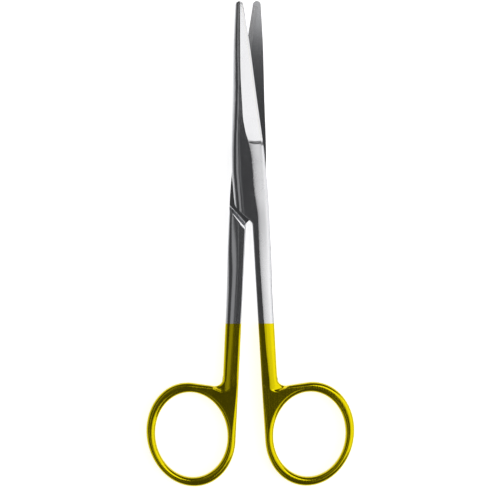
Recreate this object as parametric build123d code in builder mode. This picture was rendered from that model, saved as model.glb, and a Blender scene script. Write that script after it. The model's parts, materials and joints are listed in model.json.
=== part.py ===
from build123d import *
from math import acos, atan2, cos, degrees, hypot, radians, sin
import os

# Straight dissecting scissors with blunt tips and two ring handles, lying flat.
# X runs across, Y along the length with the tips at +Y, Z is the thickness.
# The origin is on the table, under the middle of the whole outline.
# Each half is drawn as if the scissors were closed, in its own plane: the pivot at (0, 0),
# the tip at +y, its ring at +x, and its outer face at +z. The two halves are the same
# forging, one of them turned over about its length.

# ---- How it lies ---------------------------------------------------------------
rest_opening = 6.0          # angle between the two blades

# ---- Blade ---------------------------------------------------------------------
blade_reach = 51.25         # pivot axis to the very tip
tip_half_width = 1.2
tip_round = 1.25            # length of the round end
waist_from_tip = 13.25
waist_half_width = 2.42
middle_from_tip = 29.25
middle_half_width = 3.6
blade_root = 6.0
blade_root_half_width = 4.85
joint_half_width = 5.1      # at the pivot axis
half_thickness = 3.0        # each half at the joint
tip_thickness = 1.1
taper_start = 8.0           # the blade is thinner forward of this station
inner_gap = 0.03            # each inner face stays this far off the middle plane
spine_round = 0.35          # rounded long edge on the back of the blade

# ---- Ground bevel on the outer face --------------------------------------------
ridge_root_x = -0.9         # ridge where the bevel starts
ridge_tip_x = 0.25
edge_height = 0.35          # wall left at the cutting edge
bevel_end = 8.2             # lowest point of the bevel's rounded end
bevel_end_x = 2.9
bevel_end_rise = 2.0        # how much further forward its end starts at the ridge

# ---- Hard inserts brazed along the cutting edge ---------------------------------
insert_width = 1.6
insert_thickness = 0.6
braze_thickness = 0.1
insert_start = 7.5
insert_from_tip = 1.45

# ---- Joint and lap shoulder ------------------------------------------------------
shank_side = 5.3            # lateral edge of the shank below the joint
shank_medial = 0.12         # medial edge; the two shanks almost touch when closed
lap_low = 15.3              # the lap edge reaches the medial side this far behind the pivot
lap_high = 10.2             # and the lateral side this far behind it
lap_corner_x = 4.9
lap_corner_radius = 1.2
lap_clearance = 0.25
shoulder_ramp = 1.3         # run of the shoulder's slope, seen from above
plate_overrun = 2.7         # the outer plate blends into the shank this far behind the lap

# ---- Shank -------------------------------------------------------------------------
shank_start = 8.0           # inside the joint
shank_inner_depth = 2.8     # below the middle plane at the joint
shank_width_end = 4.8       # at the plating line
plating_line = 45.4         # steel above it, yellow plating below
shank_edge_round = 1.0

# ---- Ring handle ---------------------------------------------------------------------
handle_thickness = 3.5
hole_half_width = 10.75
hole_half_length = 12.7
hole_tilt = 10.0            # the top of the finger hole leans outwards
band_at_sides = 2.45        # band of the ring beside the hole
band_at_ends = 2.9
ring_tilt = 16.0            # the outline of the ring leans more than its hole
ring_inset = 0.08           # the ring's side lies this far outside the shank's medial edge
hole_shift = 0.1            # the hole is this much nearer the medial side and the lower end
web_line = 64.6             # the web's upper edge leaves the shank this far behind the pivot
web_rise = 0.93             # the ring's top lies this far above that line
web_radius = 2.4            # hollow corner between the shank and the web

# ---- Pivot screw ---------------------------------------------------------------------
thread_radius = 1.8
shoulder_radius = 2.2
head_radius = 3.2
head_thickness = 1.2
head_recess = 0.1           # the head lies this far under the outer face
running_clearance = 0.05    # around the shoulder and the head
head_seat_clearance = 0.04  # between the head and the floor of its seat
slot_width = 1.0
slot_depth = 0.6

# ---- Worked out from the sizes above ----------------------------------------------------
middle_height = half_thickness
half_opening = rest_opening / 2
handle_half = handle_thickness / 2
shank_side_end = shank_medial + shank_width_end
tip_start = blade_reach - tip_round
blade_waist = blade_reach - waist_from_tip
blade_middle = blade_reach - middle_from_tip
insert_end = blade_reach - insert_from_tip
plate_end = lap_low + plate_overrun
ring_half_width = hole_half_width + band_at_sides
ring_half_length = hole_half_length + band_at_ends
lean = radians(ring_tilt)
ring_x = shank_medial + ring_inset + hypot(ring_half_width * cos(lean), ring_half_length * sin(lean))
ring_y = web_rise - web_line - hypot(ring_half_width * sin(lean), ring_half_length * cos(lean))
hole_x = ring_x - hole_shift
hole_y = ring_y - hole_shift
swing = radians(half_opening)
tip_ahead = (blade_reach - tip_half_width) * cos(swing) + tip_half_width
ring_behind = (
    hypot(ring_half_width * sin(lean - swing), ring_half_length * cos(lean - swing))
    - ring_x * sin(swing)
    - ring_y * cos(swing)
)
pivot_ahead = (ring_behind - tip_ahead) / 2
cut_room = 10.0             # cutting solids run this far past what they cut


def place_of_half(turn, faces_up):
    """Plane of one half: its own x to its ring, its own z out of its outer face."""
    side = 1 if faces_up else -1
    across = (side * cos(radians(turn)), side * sin(radians(turn)), 0)
    return Plane(origin=(0, pivot_ahead, middle_height), x_dir=across, z_dir=(0, 0, side))


def section_plane(half, station):
    """Plane across a half at a station along it: x as the half's x, y as its thickness."""
    return Plane(origin=half.from_local_coords((0, station, 0)), x_dir=half.x_dir, z_dir=-half.y_dir)


def length_plane(half):
    """Plane along a half: x as the half's length, y as its thickness."""
    return Plane(origin=half.origin, x_dir=half.y_dir, z_dir=half.x_dir)


def make_bevel_cutter(half):
    """Solid that the bevel takes off: a ruled wedge whose rear end is a round run-out."""
    with BuildPart() as cutter:
        for station, ridge_x, side_x, top in (
            (blade_reach + 1, ridge_tip_x, tip_half_width, tip_thickness),
            (0, ridge_root_x, joint_half_width, half_thickness),
        ):
            slope = (top - edge_height) / (side_x - ridge_x)
            with BuildSketch(section_plane(half, station)):
                with BuildLine():
                    Polyline(
                        (ridge_x - 1, top + slope),
                        (side_x + 2, edge_height - 2 * slope),
                        (side_x + 2, half_thickness + 2),
                        (ridge_x - 1, half_thickness + 2),
                        close=True,
                    )
                make_face()
        loft(ruled=True)
        with BuildSketch(half):
            with BuildLine():
                run_out = ThreePointArc(
                    (ridge_root_x - 1, bevel_end + bevel_end_rise + 1.5),
                    (bevel_end_x, bevel_end),
                    (2 * bevel_end_x - ridge_root_x + 1, bevel_end + bevel_end_rise + 1.5),
                )
                Polyline(
                    run_out @ 1,
                    (cut_room, blade_reach + cut_room),
                    (ridge_root_x - 1, blade_reach + cut_room),
                    run_out @ 0,
                )
            make_face()
        extrude(amount=cut_room, both=True, mode=Mode.INTERSECT)
    return cutter.part


def make_forging(half):
    """Blade, joint plate and shank of one half as one solid, down to the plating line."""
    with BuildPart() as plate:
        with BuildSketch(half.offset(inner_gap)) as outline:
            with BuildLine():
                tip = ThreePointArc((-tip_half_width, tip_start), (0, blade_reach), (tip_half_width, tip_start))
                cutting_side = Spline(
                    tip @ 1,
                    (waist_half_width, blade_waist),
                    (middle_half_width, blade_middle),
                    (blade_root_half_width, blade_root),
                    (joint_half_width, 0),
                    (shank_side, -shank_start),
                    tangents=((0.15, -1), (0, -1)),
                )
                lap_edge = Polyline(
                    cutting_side @ 1,
                    (shank_side, -plate_end),
                    (shank_medial, -plate_end),
                    (shank_medial, -lap_low),
                    (-lap_corner_x, -lap_high),
                    (-joint_half_width, 0),
                )
                Spline(
                    lap_edge @ 1,
                    (-blade_root_half_width, blade_root),
                    (-middle_half_width, blade_middle),
                    (-waist_half_width, blade_waist),
                    tip @ 0,
                    tangents=((0, 1), (0.15, 1)),
                )
            make_face()
            fillet(outline.vertices().sort_by_distance((-lap_corner_x, -lap_high))[0], lap_corner_radius)
        extrude(amount=half_thickness - inner_gap)
        with BuildSketch(length_plane(half)):
            with BuildLine():
                Polyline(
                    (-plate_end - cut_room, half_thickness),
                    (taper_start, half_thickness),
                    (blade_reach + 1, tip_thickness),
                    (blade_reach + 1, -1),
                    (-plate_end - cut_room, -1),
                    close=True,
                )
            make_face()
        extrude(amount=cut_room, both=True, mode=Mode.INTERSECT)
        spine = plate.edges().filter_by(lambda edge: is_on_back(edge, half))
        fillet(spine, spine_round)
        add(make_bevel_cutter(half), mode=Mode.SUBTRACT)
    with BuildPart() as shank:
        for station, side_x, below, above in (
            (-shank_start, shank_side, shank_inner_depth, half_thickness),
            (-plating_line, shank_side_end, handle_half, handle_half),
        ):
            with BuildSketch(section_plane(half, station)):
                with Locations(((shank_medial + side_x) / 2, (above - below) / 2)):
                    RectangleRounded(side_x - shank_medial, above + below, shank_edge_round)
        loft(ruled=True)
        ramp_angle = degrees(atan2(shoulder_ramp, shank_inner_depth))
        with BuildSketch(half.offset(inner_gap)):
            run = hypot(lap_corner_x + shank_medial, lap_low - lap_high)
            shift_x = lap_clearance * (lap_low - lap_high) / run
            shift_y = -lap_clearance * (lap_corner_x + shank_medial) / run
            slope = (lap_low - lap_high) / (lap_corner_x + shank_medial)
            low_corner = (-shank_medial + shift_x - cut_room, -lap_low + shift_y - cut_room * slope)
            high_corner = (lap_corner_x + shift_x + cut_room, -lap_high + shift_y + cut_room * slope)
            with BuildLine():
                Polyline(low_corner, high_corner, (high_corner[0], cut_room), (low_corner[0], cut_room), close=True)
            make_face()
        extrude(amount=-2 * half_thickness, taper=-ramp_angle, mode=Mode.SUBTRACT)
    with BuildPart() as forging:
        add(plate.part)
        add(shank.part)
    return forging.part


def is_on_back(edge, half):
    """True for the long edge where the outer face meets the back of the blade."""
    start = half.to_local_coords(edge @ 0)
    end = half.to_local_coords(edge @ 1)
    behind = start.X < 0 and end.X < 0
    outside = min(start.Z, end.Z) > tip_thickness / 2
    long_enough = abs(start.Y - end.Y) > blade_root
    return behind and outside and long_enough


def ring_tangent(point_x, point_y, turn):
    """Point where a line from a given point touches the ring's outer oval, on the side of turn."""
    across = ((point_x - ring_x) * cos(lean) - (point_y - ring_y) * sin(lean)) / ring_half_width
    along = ((point_x - ring_x) * sin(lean) + (point_y - ring_y) * cos(lean)) / ring_half_length
    angle = atan2(along, across) + turn * acos(1 / hypot(across, along))
    across = ring_half_width * cos(angle)
    along = ring_half_length * sin(angle)
    return (
        ring_x + across * cos(lean) + along * sin(lean),
        ring_y - across * sin(lean) + along * cos(lean),
    )


def make_band(half, low, high):
    """Strip along the cutting edge between two heights, wide enough to pass the edge."""
    with BuildPart() as band:
        with BuildSketch(half.offset(low)):
            with BuildLine():
                Polyline(
                    (blade_root_half_width - insert_width, insert_start),
                    (shank_side + cut_room, insert_start),
                    (shank_side + cut_room, insert_end),
                    (tip_half_width - insert_width, insert_end),
                    close=True,
                )
            make_face()
        extrude(amount=high - low)
    return band.part


def make_handle(half):
    """Plated lower shank with its web and finger ring, of one thickness, edges rounded."""
    corner = (shank_side_end, -web_line)
    with BuildPart() as handle:
        with BuildSketch(half) as plan:
            with Locations((ring_x, ring_y)):
                Ellipse(ring_half_width, ring_half_length, rotation=-ring_tilt)
            with BuildLine():
                Polyline(
                    (shank_medial, -plating_line),
                    (shank_side_end, -plating_line),
                    corner,
                    ring_tangent(*corner, -1),
                    ring_tangent(shank_medial, -plating_line, 1),
                    close=True,
                )
            make_face()
            fillet(plan.vertices().sort_by_distance(corner)[0], web_radius)
            with Locations((hole_x, hole_y)):
                Ellipse(hole_half_width, hole_half_length, rotation=-hole_tilt, mode=Mode.SUBTRACT)
        extrude(amount=handle_half, both=True)
        flat_edges = handle.faces().filter_by(Plane.XY).edges()
        rounded = flat_edges.filter_by(lambda edge: half.to_local_coords(edge @ 0.5).Y < -plating_line - 0.5)
        fillet(rounded, shank_edge_round)
    return handle.part


def make_screw(half):
    """Pivot screw: threaded end flush in the front half, shoulder in the rear half, slotted head."""
    head_top = -half_thickness + head_recess + head_thickness
    with BuildPart() as screw:
        with BuildSketch(half.offset(-half_thickness + head_recess)):
            Circle(head_radius)
        extrude(amount=head_thickness)
        with BuildSketch(half.offset(head_top)):
            Circle(shoulder_radius)
        extrude(amount=inner_gap - head_top)
        with BuildSketch(half.offset(inner_gap)):
            Circle(thread_radius)
        extrude(amount=half_thickness - inner_gap)
        with BuildSketch(half.offset(-half_thickness)):
            Rectangle(3 * head_radius, slot_width)
        extrude(amount=head_recess + slot_depth, mode=Mode.SUBTRACT)
    return screw.part


def save(name, part):
    """Give a piece its name and write it."""
    part.label = name
    export_step(part, f"parts/{name}.step")


os.makedirs("parts", exist_ok=True)
front = place_of_half(half_opening, True)
rear = place_of_half(-half_opening, False)
insert_top = inner_gap + insert_thickness
braze_top = insert_top + braze_thickness

for side, half in (("front", front), ("rear", rear)):
    forging = make_forging(half)
    with BuildPart() as blade:
        add(forging)
        add(make_band(half, -inner_gap, braze_top), mode=Mode.SUBTRACT)
        with BuildSketch(half):
            Circle(thread_radius if side == "front" else shoulder_radius + running_clearance)
        extrude(amount=2 * half_thickness, mode=Mode.SUBTRACT)
        if side == "rear":
            seat_depth = head_recess + head_thickness + head_seat_clearance
            with BuildSketch(half.offset(half_thickness - seat_depth)):
                Circle(head_radius + running_clearance)
            extrude(amount=2 * half_thickness, mode=Mode.SUBTRACT)
    save(f"{side}_blade", blade.part)

    with BuildPart() as insert:
        add(forging)
        add(make_band(half, inner_gap, insert_top), mode=Mode.INTERSECT)
    save(f"{side}_carbide_insert", insert.part)

    with BuildPart() as braze:
        add(forging)
        add(make_band(half, insert_top, braze_top), mode=Mode.INTERSECT)
    save(f"{side}_braze_layer", braze.part)

    save(f"{side}_ring_handle", make_handle(half))

save("pivot_screw", make_screw(front))
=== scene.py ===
import json
import logging
import math
from dataclasses import dataclass, field
from enum import Enum
from typing import Dict, List, Optional, Sequence, Tuple

import bmesh
import bpy
import numpy as np
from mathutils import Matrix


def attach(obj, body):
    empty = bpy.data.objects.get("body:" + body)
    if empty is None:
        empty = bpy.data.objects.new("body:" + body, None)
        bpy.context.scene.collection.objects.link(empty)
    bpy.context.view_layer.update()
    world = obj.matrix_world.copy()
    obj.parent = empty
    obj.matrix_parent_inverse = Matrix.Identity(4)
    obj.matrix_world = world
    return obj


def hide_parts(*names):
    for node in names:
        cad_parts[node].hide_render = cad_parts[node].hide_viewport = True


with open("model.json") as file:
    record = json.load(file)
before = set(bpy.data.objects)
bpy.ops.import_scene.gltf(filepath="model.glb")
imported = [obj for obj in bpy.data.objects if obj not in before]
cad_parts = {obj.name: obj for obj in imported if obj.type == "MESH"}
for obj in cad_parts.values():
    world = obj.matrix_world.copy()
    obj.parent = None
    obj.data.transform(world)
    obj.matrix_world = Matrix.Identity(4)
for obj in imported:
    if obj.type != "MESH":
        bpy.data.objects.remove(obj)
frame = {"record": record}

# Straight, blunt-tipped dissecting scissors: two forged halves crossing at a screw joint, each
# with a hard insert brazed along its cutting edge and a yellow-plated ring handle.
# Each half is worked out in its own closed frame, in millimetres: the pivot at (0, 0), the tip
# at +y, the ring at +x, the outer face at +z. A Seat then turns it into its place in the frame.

LOG = logging.getLogger("scissors")
MM = 0.001
LOCAL = "half_mm"          # attribute: a point's place in its half's own frame, in mm
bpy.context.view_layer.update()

Array = np.ndarray
TURN = np.linspace(0, math.tau, 97)[:-1]      # angles of every turned surface
Colour = Tuple[float, float, float]


class Finish(Enum):
    """Surfaces the scissors show; the value is the material's name."""

    POLISHED = "polished_steel"
    GROUND = "ground_bevel"
    SATIN = "satin_inner_face"
    PLATED = "yellow_plating"
    CARBIDE = "carbide_face"
    BRAZE = "braze_line"
    SCREW = "turned_screw"
    # the run-out: ground steel with painted shade mixed into its colour towards the wall
    RUNOUT_SHADE = "runout_painted_shade"


# ---------------------------------------------------------------------------- curves

def smooth_through(stations: Sequence[float], values: Sequence[float], at: Array) -> Array:
    """Cubic curve through a few knots, level where its neighbours turn round.

    Args:
        stations: where the knots stand, rising.
        values: the knots' values.
        at: where to read the curve.

    Returns:
        The curve's values: between two knots the cubic with the harmonic mean of the
        neighbouring slopes at each end; flat beyond the first and last knot.
    """
    s = np.asarray(stations, float)
    v = np.asarray(values, float)
    step = np.diff(s)
    slope = np.diff(v) / step
    inner = np.where(slope[:-1] * slope[1:] > 0, 2 * slope[:-1] * slope[1:] / (slope[:-1] + slope[1:] + 1e-30), 0)
    slopes = np.concatenate([[slope[0]], inner, [slope[-1]]])
    x = np.clip(at, s[0], s[-1])
    i = np.clip(np.searchsorted(s, x) - 1, 0, len(s) - 2)
    t = (x - s[i]) / step[i]
    return (
        (1 + 2 * t) * (1 - t) ** 2 * v[i]
        + t * (1 - t) ** 2 * step[i] * slopes[i]
        + t * t * (3 - 2 * t) * v[i + 1]
        - t * t * (1 - t) * step[i] * slopes[i + 1]
    )


def smooth_step(t: Array) -> Array:
    """0 below 0, 1 above 1, and 3t^2 - 2t^3 between."""
    t = np.clip(t, 0, 1)
    return t * t * (3 - 2 * t)


def soft_max(a: Array, b: Array, k: float) -> Array:
    """The larger of two values, with their meeting corner rounded over about k."""
    return 0.5 * (a + b + np.sqrt((a - b) ** 2 + k * k))


def edge_fall(distance: Array, radius: Array, depth: Array) -> Array:
    """How far a rounded edge has fallen at a distance from it: a quarter ellipse, depth at 0, none past radius."""
    s = np.clip(1 - distance / np.maximum(radius, 1e-6), 0, 1)
    return depth * (1 - np.sqrt(1 - s * s))


def cosine_run(count: int) -> Array:
    """Values from 0 to 1 packed towards 0, as 1 - cos over a quarter turn."""
    return 1 - np.cos(np.linspace(0, math.pi / 2, count))


# ---------------------------------------------------------------------------- meshes

@dataclass
class Shell:
    """Closed surface gathered from grids of points, welded where their borders meet."""

    name: str
    points: List[Array] = field(default_factory=list)
    faces: List[Array] = field(default_factory=list)
    finishes: List[Array] = field(default_factory=list)
    count: int = 0

    def add_grid(self, grid: Array, finish: Array, wrap_rows: bool = False, wrap_columns: bool = False) -> None:
        """Adds a grid of points as quads.

        Args:
            grid: rows by columns by 3, in the half's own millimetres.
            finish: finish number of each quad, or one number for all.
            wrap_rows: joins the last row to the first.
            wrap_columns: joins the last column to the first.
        """
        rows, columns = grid.shape[:2]
        index = self.count + np.arange(rows * columns).reshape(rows, columns)
        if wrap_rows:
            index = np.vstack([index, index[:1]])
        if wrap_columns:
            index = np.hstack([index, index[:, :1]])
        quads = np.stack([index[:-1, :-1], index[:-1, 1:], index[1:, 1:], index[1:, :-1]], axis=-1)
        self.points.append(grid.reshape(-1, 3))
        self.faces.append(quads.reshape(-1, 4))
        self.finishes.append(np.broadcast_to(finish, quads.shape[:2]).reshape(-1))
        self.count += rows * columns

    def build(self, seat: "Seat", finishes: Sequence[Finish], tool: Optional[bpy.types.Object] = None) -> bpy.types.Object:
        """Makes the welded mesh object in its place, with its materials and its local attribute."""
        local = np.vstack(self.points)
        mesh = bpy.data.meshes.new(self.name)
        mesh.from_pydata(seat.place(local).tolist(), [], np.vstack(self.faces).tolist())
        mesh.polygons.foreach_set("material_index", np.concatenate(self.finishes).astype(np.int32))
        for finish in finishes:
            mesh.materials.append(material(finish))
        work = bmesh.new()
        work.from_mesh(mesh)
        bmesh.ops.remove_doubles(work, verts=work.verts, dist=2e-6)
        bmesh.ops.dissolve_degenerate(work, edges=work.edges, dist=1e-7)
        bmesh.ops.recalc_face_normals(work, faces=work.faces)
        work.to_mesh(mesh)
        work.free()
        if tool is not None:
            mesh = carve(mesh, tool)
        work = bmesh.new()
        work.from_mesh(mesh)
        open_edges = sum(1 for edge in work.edges if not edge.is_manifold)
        work.free()
        attribute = mesh.attributes.new(LOCAL, "FLOAT_VECTOR", "POINT")
        attribute.data.foreach_set("vector", seat.unplace(mesh).astype(np.float32).ravel())
        mesh.shade_smooth()
        mesh.set_sharp_from_angle(angle=math.radians(28))
        piece = bpy.data.objects.new(self.name, mesh)
        bpy.context.scene.collection.objects.link(piece)
        LOG.info("%s: %d faces, %d open edges", self.name, len(mesh.polygons), open_edges)
        return piece


@dataclass(frozen=True)
class Seat:
    """Where one half lies in the frame, read from the pivot joint."""

    pivot: Tuple[float, float, float]
    turn: float
    faces_up: bool

    @classmethod
    def from_joint(cls, joint: Dict, faces_up: bool) -> "Seat":
        """Reads the pivot's place, and how far each half stands open, from the joint."""
        half_opening = math.radians(-joint["range_deg"][0]) / 2
        return cls(tuple(joint["pos_m"]), half_opening, faces_up)

    def place(self, local: Array) -> Array:
        """Turns points of the half, in mm, into points of the frame, in metres.

        The front half turns by the half opening about the pivot. The rear half is first
        turned over about its length: x and z change sign, and the turn goes the other way.
        """
        side = 1.0 if self.faces_up else -1.0
        x, y, z = side * local[:, 0], local[:, 1], side * local[:, 2]
        angle = side * self.turn
        c, s = math.cos(angle), math.sin(angle)
        turned = np.stack([x * c - y * s, x * s + y * c, z], axis=1)
        return turned * MM + np.array(self.pivot)

    def unplace(self, mesh: bpy.types.Mesh) -> Array:
        """The other way round: a mesh's points in the half's own frame, in mm."""
        points = np.empty(len(mesh.vertices) * 3, np.float32)
        mesh.vertices.foreach_get("co", points)
        away = (points.reshape(-1, 3).astype(float) - np.array(self.pivot)) / MM
        side = 1.0 if self.faces_up else -1.0
        angle = side * self.turn
        c, s = math.cos(angle), math.sin(angle)
        x, y = away[:, 0] * c + away[:, 1] * s, away[:, 1] * c - away[:, 0] * s
        return np.stack([side * x, y, side * away[:, 2]], axis=1)


def turned(profile: Array, turn: Array) -> Array:
    """Grid of a profile of (radius, height) pairs swept round the pivot axis."""
    radius, height = profile[:, 0], profile[:, 1]
    rings = [np.outer(np.cos(turn), radius), np.outer(np.sin(turn), radius), np.broadcast_to(height, (len(turn), len(height)))]
    return np.stack(rings, axis=-1)


def carve(mesh: bpy.types.Mesh, tool: bpy.types.Object) -> bpy.types.Mesh:
    """Takes a closed tool's volume out of a closed mesh.

    Args:
        mesh: mesh in its place.
        tool: object whose volume is taken away; it is removed afterwards.

    Returns:
        A new mesh in the same place, with the same materials.
    """
    blank = bpy.data.objects.new("blank", mesh)
    bpy.context.scene.collection.objects.link(blank)
    cut = blank.modifiers.new("cut", "BOOLEAN")
    cut.operation = "DIFFERENCE"
    cut.solver = "EXACT"
    cut.object = tool
    bpy.context.view_layer.update()
    graph = bpy.context.evaluated_depsgraph_get()
    carved = bpy.data.meshes.new_from_object(blank.evaluated_get(graph))
    for spare in (blank, tool):
        bpy.data.objects.remove(spare, do_unlink=True)
    return carved


@dataclass(frozen=True)
class Bore:
    """Stepped hole through the rear half for the screw: a seat for the head, then a hole for the shoulder."""

    head_radius: float = 3.25
    head_floor: float = 1.66       # height of the seat's floor above the middle plane
    hole_radius: float = 2.25
    high: float = 4.0              # the tool reaches from here, past the outer face,
    low: float = -1.0              # to here, past the inner one

    def tool(self, seat: Seat) -> bpy.types.Object:
        """Turned tool for the hole, in its half's place."""
        profile = np.array(
            [(0, self.high), (self.head_radius, self.high), (self.head_radius, self.head_floor),
             (self.hole_radius, self.head_floor), (self.hole_radius, self.low), (0, self.low)]
        )
        shell = Shell("bore_tool")
        shell.add_grid(turned(profile, TURN), 0, wrap_rows=True)
        return shell.build(seat, [Finish.POLISHED])


# ---------------------------------------------------------------------------- one forged half

@dataclass(frozen=True)
class Forging:
    """Shape of one half: its outline seen from above, and its upper and lower surfaces."""

    reach: float = 51.25
    tip_radius: float = 1.2
    half_thickness: float = 3.0
    gap: float = 0.03
    tip_height: float = 1.1
    tip_fall: float = 1.3          # length over which the tip's height rounds off
    edge_wall: float = 0.35
    bevel_low: float = 8.05         # lowest point of the bevel's rounded end
    bevel_low_x: float = 2.9
    bevel_curl: float = 0.09       # how fast that end rises away from its lowest point
    bevel_cove: float = 1.15       # length of the hollow run-out
    lap_low: float = 15.3
    lap_high: float = 10.2
    lap_corner_x: float = 4.9
    medial: float = 0.12
    lap_clearance: float = 0.25
    ramp: float = 0.75
    shank_depth: float = 2.8
    plating: float = 45.4
    seam: float = 61.0             # the shank's strip meets the ring's web here
    handle_half: float = 1.75
    insert_width: float = 1.6
    insert_start: float = 7.5
    insert_end: float = 49.8
    insert_top: float = 0.63
    braze_top: float = 0.73
    facet_end: float = 66.0        # the facet runs out on the web here
    medial_tilt: float = 0.03
    back_round: float = 2.9

    # -- outline

    def half_width(self, y: Array) -> Array:
        """Half the blade's width: a round tip, then a curve through four widths."""
        body = smooth_through((0, 6, 22, 38, 50.05), (5.1, 4.85, 3.6, 2.42, self.tip_radius), y)
        ahead = np.clip(y - (self.reach - self.tip_radius), 0, self.tip_radius)
        tip = np.sqrt(np.maximum(self.tip_radius**2 - ahead**2, 0))
        return np.where(y > self.reach - self.tip_radius, tip, body)

    def left(self, y: Array) -> Array:
        """Back of the blade, then the slanting lap edge, then the medial edge of the shank."""
        back = np.where(y > 0, -self.half_width(y), smooth_through((-12, -8.5, 0), (-4.72, -4.9, -5.1), y))
        slope = (self.lap_corner_x + self.medial) / (self.lap_low - self.lap_high)
        lap = -self.lap_corner_x + (-self.lap_high - y) * slope
        below = -soft_max(-lap, np.full_like(lap, -self.medial), 0.25)
        return np.where(y > -4, back, soft_max(back, below, 0.7) - 0.02 * smooth_step((y + 12) / 4))

    def right(self, y: Array) -> Array:
        """Cutting edge of the blade, then the lateral edge of the joint and the shank."""
        side = smooth_through((-61, -45.4, -38, -22, -8, 0), (4.9, 4.92, 4.95, 5.28, 5.32, 5.1), y)
        return np.where(y > 0, self.half_width(y), side)

    def crest(self, y: Array) -> Array:
        """Line between the two upper facets: the blade's ridge, then the joint's and shank's crease."""
        line = smooth_through(
            (-62, -50, -26, -13.5, -5.5, 0.6, 3.6, 8.7, 12, 17, 25, 49.7),
            (2.4, 1.95, 1.7, 1.88, 1.25, 1.1, 1.05, 0.42, -0.35, -0.85, -0.84, 0.19),
            y,
        )
        left, right = self.left(y), self.right(y)
        return np.clip(line, left + 0.15 * (right - left), right - 0.15 * (right - left))

    # -- heights

    def crest_height(self, y: Array) -> Array:
        """Height of the crease above the middle plane, rounded off over the last stretch of the tip."""
        line = smooth_through(
            (-61, -45.4, -8, 8, 51.25), (self.handle_half, self.handle_half, 3.0, 3.0, self.tip_height + 0.04), y
        )
        ahead = np.clip((y - (self.reach - self.tip_fall)) / self.tip_fall, 0, 1)
        return self.gap + (line - self.gap) * (0.35 + 0.65 * np.sqrt(1 - ahead**2))

    def depth(self, y: Array) -> Array:
        """Depth of the shank below the middle plane."""
        return smooth_through((-61, -45.4, -8), (self.handle_half, self.handle_half, self.shank_depth), y)

    def back_line(self, y: Array) -> Array:
        """Line the back's rounding follows: the blade's back, carried straight on past the joint."""
        return np.where(y > 0, -self.half_width(y), -5.1 - 0.028 * y)

    def back_fall(self, x: Array, y: Array) -> Array:
        """Fall of the wide rounding along the blade's back and the joint."""
        away = x - self.back_line(y)
        depth = smooth_through((2, 10, 20, 51), (1.15, 1.25, 1.5, 0.9), y)
        depth = np.minimum(depth, 0.62 * (self.crest_height(y) - self.gap))
        return edge_fall(away, self.back_width(y), depth)

    def back_width(self, y: Array) -> Array:
        """Width of that rounding: wide on the joint, narrower on the blade, never past the ridge."""
        wide = smooth_through((2, 12, 51), (self.back_round, 2.45, 2.3), y)
        return np.minimum(wide, 0.98 * (self.crest(y) - self.back_line(y)))

    def edge_radii(self, y: Array) -> Tuple[Array, Array, Array, Array]:
        """Width and depth of the small rounding on the left edge, then of the rounding on the right one."""
        room = self.crest(y) - self.left(y)
        left_width = np.minimum(smooth_through((-50, -40, -14, -4, 0), (0.5, 0.25, 0.3, 0.3, 0.2), y), 0.4 * room)
        left_depth = smooth_through((-50, -40, -14, -4, 0), (0.4, 0.2, 0.25, 0.15, 0.0), y)
        right_room = self.right(y) - self.crest(y)
        right_width = np.minimum(smooth_through((-70, -61, -45.4, -8, 8), (1.3, 1.0, 1.3, 1.2, 0.5), y), 0.4 * right_room)
        right_depth = smooth_through((-70, -61, -45.4, -8), (1.1, 0.7, 0.5, 0.45), y)
        return left_width, left_depth, right_width, right_depth

    def facets(self, x: Array, y: Array) -> Array:
        """Fall of the two facets from the crease: nearly level on the medial side, growing with a
        slight swell on the lateral side, and running out in a round end on the ring's web."""
        across = x - self.crest(y)
        tilt = smooth_through((-62, -30, -12, 8), (0.105, 0.088, 0.076, 0.05), y)
        swell = smooth_through((-30, -12, 8), (0.052, 0.016, 0.010), y)
        soft = smooth_through((-30, -12, 8), (0.08, 0.25, 0.3), y)
        end = -self.facet_end + 0.12 * (x - 4.6) ** 2
        lateral = np.maximum(across, 0) / (1 + (np.maximum(across, 0) / 3.6) ** 8) ** 0.125
        medial = np.maximum(-across, 0)
        fade = smooth_step((y - end) / 0.9)
        turned = lateral - soft * (1 - np.exp(-lateral / soft))
        return (tilt * turned + swell * lateral**2) * fade + self.medial_tilt * medial * fade

    def bevel(self, x: Array, y: Array) -> Array:
        """Height of the ground bevel: a flat from the ridge down to a low wall at the cutting edge."""
        slope = (self.crest_height(y) - self.edge_wall) / (self.right(y) - self.crest(y))
        return self.edge_wall + slope * (self.right(y) - x)

    def bevel_share(self, x: Array, y: Array) -> Array:
        """1 on the bevel, 0 behind its rounded end, and a hollow quarter round between."""
        end = self.bevel_low + self.bevel_curl * (x - self.bevel_low_x) ** 2
        s = np.clip((y - end) / self.bevel_cove, 0, 1)
        return np.sqrt(1 - (1 - s) ** 2)

    def upper(self, x: Array, y: Array) -> Array:
        """Outer surface: crest height less the facets and rounded edges, cut down to the bevel."""
        left_width, left_depth, right_width, right_depth = self.edge_radii(y)
        fall = edge_fall(x - self.left(y), left_width, left_depth)
        fall_right = edge_fall(self.right(y) - x, right_width, right_depth)
        whole = self.crest_height(y) - self.facets(x, y) - np.maximum(fall, self.back_fall(x, y)) - fall_right
        share = self.bevel_share(x, y) * (x > self.crest(y))
        cut = np.minimum(whole, self.bevel(x, y))
        return whole + (cut - whole) * share

    def shoulder_line(self, y: Array) -> Array:
        """Where the shoulder starts across the half, at a station: parallel to the other half's lap edge."""
        slope = (self.lap_corner_x + self.medial) / (self.lap_low - self.lap_high)
        return -self.medial + (self.lap_low + y) * slope + 1.414 * self.lap_clearance

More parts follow.
